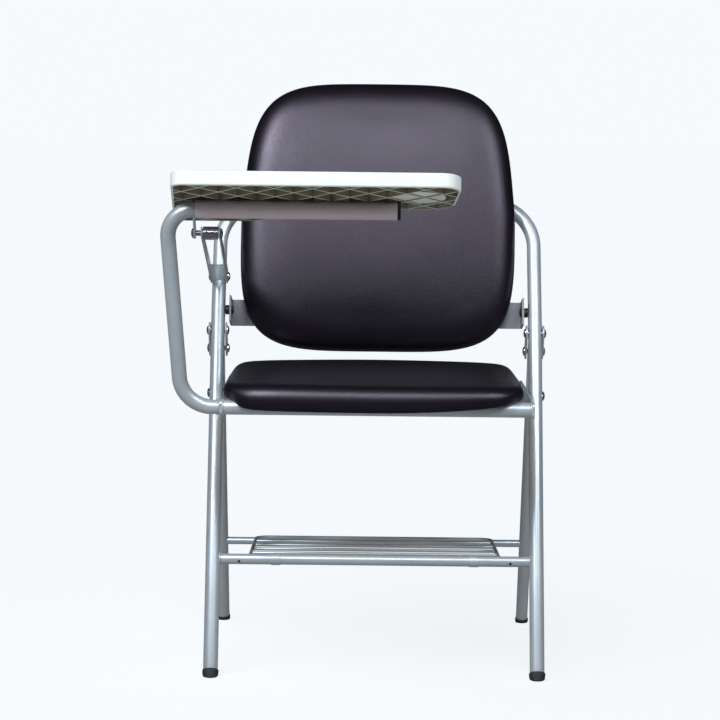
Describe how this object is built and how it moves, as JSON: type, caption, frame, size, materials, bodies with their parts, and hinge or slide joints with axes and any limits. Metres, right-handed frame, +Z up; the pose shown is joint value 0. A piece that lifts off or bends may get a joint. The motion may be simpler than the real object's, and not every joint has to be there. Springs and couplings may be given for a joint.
{
  "type": "folding study chair",
  "caption": "Folding study chair with a padded seat and back, slanting tube frame, wire book rack, and a flip-up writing tablet with a cup recess on a swinging arm.",
  "frame": {"origin": "floor level under the middle of the bounding box", "axes": "+Z up, the chair faces -Y, and the tablet arm is on the -X side"},
  "size_m": [0.5786, 0.615, 0.8786],
  "materials": {
    "silver_enamel": "satin silver-grey enamel",
    "zinc_steel": "bright zinc plating",
    "rubber": "matte black",
    "nylon": "matte black",
    "leatherette": "soft-sheen dark leatherette",
    "plywood": "raw plywood",
    "shell_plastic": "fine-grained black",
    "tablet_plastic": "ivory moulded plastic, satin"
  },
  "bodies": {
    "frame": {"main_frame": "silver_enamel", "front_foot_left": "rubber", "front_foot_right": "rubber", "rack_front_bar": "silver_enamel", "pivot_plate_inner_left": "silver_enamel", "pivot_plate_inner_right": "silver_enamel", "pivot_plate_outer_left": "silver_enamel", "pivot_plate_outer_right": "silver_enamel", "plate_rivet_left": "zinc_steel", "plate_rivet_right": "zinc_steel", "backrest_shell": "shell_plastic", "backrest_cushion": "leatherette", "backrest_pad_left": "rubber", "backrest_pad_right": "rubber", "backrest_bracket_left": "silver_enamel", "backrest_bracket_right": "silver_enamel", "backrest_bolt_left": "nylon", "backrest_bolt_right": "nylon", "backrest_spacer_left": "nylon", "backrest_spacer_right": "nylon", "stay_pivot_bolt": "zinc_steel"},
    "rear_legs": {"rear_leg_left": "silver_enamel", "rear_leg_right": "silver_enamel", "rear_foot_left": "rubber", "rear_foot_right": "rubber", "rack_rear_bar": "silver_enamel", "seat_stop_stud_left": "nylon", "seat_stop_stud_right": "nylon", "rear_leg_rivet_left": "zinc_steel", "rear_leg_rivet_right": "zinc_steel"},
    "rack": {"book_rack": "silver_enamel", "rack_clip_left": "silver_enamel", "rack_clip_right": "silver_enamel"},
    "seat": {"seat_rail_left": "silver_enamel", "seat_rail_right": "silver_enamel", "seat_rivet_left": "zinc_steel", "seat_rivet_right": "zinc_steel", "seat_pivot_bush_left": "nylon", "seat_pivot_bush_right": "nylon", "seat_front_bar": "silver_enamel", "seat_rear_bar": "silver_enamel", "seat_pan": "plywood", "seat_cushion": "leatherette"},
    "stay": {"tablet_stay": "silver_enamel"},
    "arm": {"tablet_arm": "silver_enamel", "arm_spindle": "silver_enamel", "stay_lug": "silver_enamel", "stay_pin": "zinc_steel", "stay_spacer": "zinc_steel"},
    "tablet": {"tablet_top": "tablet_plastic", "tablet_sleeve": "silver_enamel", "sleeve_end_plug": "nylon"}
  },
  "joints": [
    {"name": "seat_flip", "type": "hinge", "parent": "frame", "child": "seat", "pos_m": [0.02073, 0.12159, 0.397], "axis": [1, 0, 0], "range_deg": [-60, 0]},
    {"name": "arm_swing", "type": "hinge", "parent": "seat", "child": "arm", "pos_m": [0.02073, -0.14762, 0.409], "axis": [1, 0, 0], "range_deg": [0, 60]},
    {"name": "tablet_flip", "type": "hinge", "parent": "arm", "child": "tablet", "pos_m": [0.02073, -0.21762, 0.699], "axis": [1, 0, 0], "range_deg": [0, 100]},
    {"name": "stay_swing", "type": "hinge", "parent": "frame", "child": "stay", "pos_m": [0.02073, 0.2191, 0.572], "axis": [1, 0, 0], "range_deg": [-37.2, 0]},
    {"name": "leg_fold", "type": "hinge", "parent": "frame", "child": "rear_legs", "pos_m": [0.02073, 0.19236, 0.46], "axis": [1, 0, 0], "range_deg": [-42, 0]},
    {"name": "rack_swing", "type": "hinge", "parent": "frame", "child": "rack", "pos_m": [0.02073, -0.01524, 0.16], "axis": [1, 0, 0], "range_deg": [0, 64]}
  ],
  "couplings": [
    {"joint": "arm_swing", "follows": "seat_flip", "ratio": -1},
    {"joint": "stay_swing", "follows": "seat_flip", "ratio": 0.6185},
    {"joint": "rack_swing", "follows": "leg_fold", "ratio": -1.513}
  ]
}
